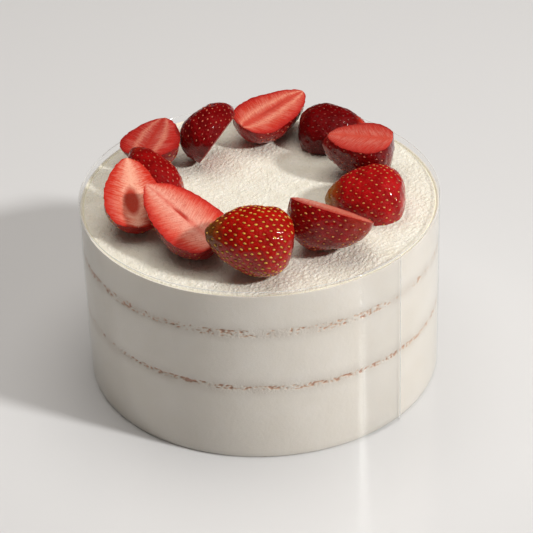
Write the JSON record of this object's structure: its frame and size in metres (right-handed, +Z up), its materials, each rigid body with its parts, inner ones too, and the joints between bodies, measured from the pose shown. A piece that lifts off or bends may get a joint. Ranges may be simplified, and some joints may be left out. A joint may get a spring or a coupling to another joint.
{
  "type": "strawberry cream cake",
  "caption": "Round cream cake with two thin sponge sheets, a clear film collar round its side and a loose ring of cut strawberries on its scraped cream top.",
  "frame": {"origin": "centre of the cake's flat underside, which is also the bottom centre of its bounding box", "axes": "+Z up, -Y towards the front of the picture, +X towards its right"},
  "size_m": [0.1488, 0.1488, 0.1068],
  "materials": {
    "cream": "matte whipped cream, faintly ivory, with a soft sheen",
    "sponge": "matte crumb",
    "clear_film": "clear gloss film",
    "strawberry": "glossy red skin with golden seeds, moist paler cut faces"
  },
  "bodies": {
    "root": {"cream_base": "cream", "sponge_lower": "sponge", "cream_middle": "cream", "sponge_upper": "sponge", "cream_top": "cream", "film_collar": "clear_film", "strawberry_front": "strawberry", "strawberry_front_left": "strawberry", "strawberry_left": "strawberry", "strawberry_left_inner": "strawberry", "strawberry_back_left": "strawberry", "strawberry_back": "strawberry", "strawberry_back_long": "strawberry", "strawberry_back_right": "strawberry", "strawberry_right_upper": "strawberry", "strawberry_right": "strawberry", "strawberry_front_right": "strawberry"}
  },
  "joints": []
}
